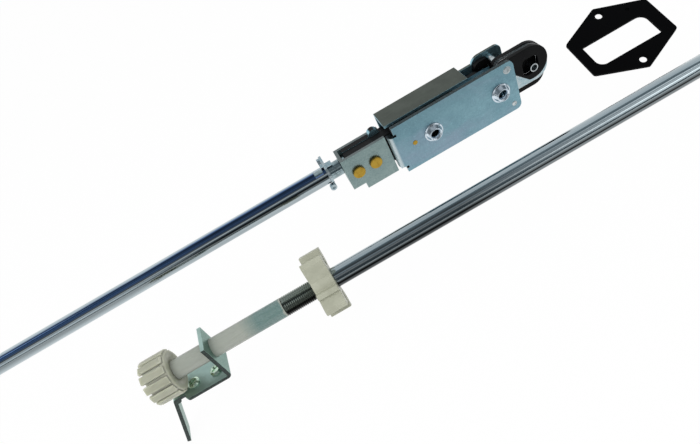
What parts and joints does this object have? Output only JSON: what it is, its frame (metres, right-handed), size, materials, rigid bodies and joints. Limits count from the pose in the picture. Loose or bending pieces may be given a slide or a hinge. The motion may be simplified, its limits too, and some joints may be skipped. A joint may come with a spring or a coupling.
{
  "type": "door header bolt",
  "caption": "Door header bolt: a case with a swinging laminated bolt, actuating rods, threaded adjuster with bracket, rod guide and strike plate.",
  "frame": {"origin": "midway between the two tapped case bosses, on their faces", "axes": "+X along the rods towards the bolt, +Y from the boss faces through the case to its back, +Z across the case, up as the set lies in the picture"},
  "size_m": [0.5326, 0.1224, 0.0977],
  "materials": {
    "zinc_steel": "zinc plated sheet and turned steel, satin to bright",
    "dark_zinc_steel": "zinc plated sheet with a darker olive passivation, satin",
    "black_steel": "black finish on steel plate, satin",
    "bright_tube": "bright zinc plated round tube, glossy",
    "brass": "brass, satin",
    "natural_nylon": "natural off-white nylon, satin",
    "clear_sleeve": "milky translucent plastic, satin",
    "black_plastic": "black moulded plastic, matt"
  },
  "bodies": {
    "case": {"front_plate": "zinc_steel", "case_channel": "dark_zinc_steel", "case_bosses": "zinc_steel", "pivot_pin": "bright_tube", "guide_pin": "brass", "case_posts": "zinc_steel", "lower_stub": "zinc_steel", "guide_shoe": "black_plastic", "strike_plate": "black_steel"},
    "slide": {"yoke": "zinc_steel", "yoke_rivets": "brass", "slide_block": "black_steel", "drive_bar": "zinc_steel", "drive_fork": "black_steel", "fork_rivets": "zinc_steel"},
    "bolt": {"front_cheek": "black_steel", "bolt_core": "zinc_steel", "rear_cheek": "black_steel", "pivot_bush": "zinc_steel", "hollow_rivet": "zinc_steel", "drive_pin": "bright_tube"},
    "upper_rod": {"upper_tube": "bright_tube", "upper_stud": "zinc_steel", "upper_clip": "zinc_steel"},
    "lower_rod": {"lower_tube": "bright_tube", "lower_stud": "zinc_steel"},
    "bracket_unit": {"bracket": "zinc_steel", "bracket_screws": "bright_tube"},
    "adjuster": {"adjuster_sleeve": "clear_sleeve", "adjuster_knob": "natural_nylon"},
    "guide": {"rod_guide": "natural_nylon"}
  },
  "joints": [
    {"name": "rod_slide", "type": "slide", "parent": "case", "child": "slide", "axis": [1, 0, 0], "range_m": [-0.01837, 0]},
    {"name": "bolt_swing", "type": "hinge", "parent": "case", "child": "bolt", "pos_m": [0.033, 0.012, 0.01355], "axis": [0, 1, 0], "range_deg": [0, 90]},
    {"name": "rod_swivel", "type": "hinge", "parent": "slide", "child": "upper_rod", "pos_m": [-0.091, 0.0165, 0.00465], "axis": [1, 0, 0], "continuous": true},
    {"name": "lower_rod_slide", "type": "slide", "parent": "case", "child": "bracket_unit", "axis": [1, 0, 0], "range_m": [-0.01837, 0]},
    {"name": "adjuster_travel", "type": "slide", "parent": "bracket_unit", "child": "lower_rod", "axis": [1, 0, 0], "range_m": [0, 0.01905]},
    {"name": "adjuster_turn", "type": "hinge", "parent": "bracket_unit", "child": "adjuster", "pos_m": [-0.216, -0.0487, -0.01755], "axis": [-1, 0, 0], "range_deg": [0, 4320]},
    {"name": "guide_slide", "type": "slide", "parent": "lower_rod", "child": "guide", "axis": [1, 0, 0], "range_m": [-0.01, 0.06]}
  ],
  "couplings": [
    {"joint": "bolt_swing", "follows": "rod_slide", "rad_per_m": -85.504},
    {"joint": "lower_rod_slide", "follows": "rod_slide", "ratio": 1},
    {"joint": "adjuster_turn", "follows": "adjuster_travel", "rad_per_m": 3957.9}
  ]
}
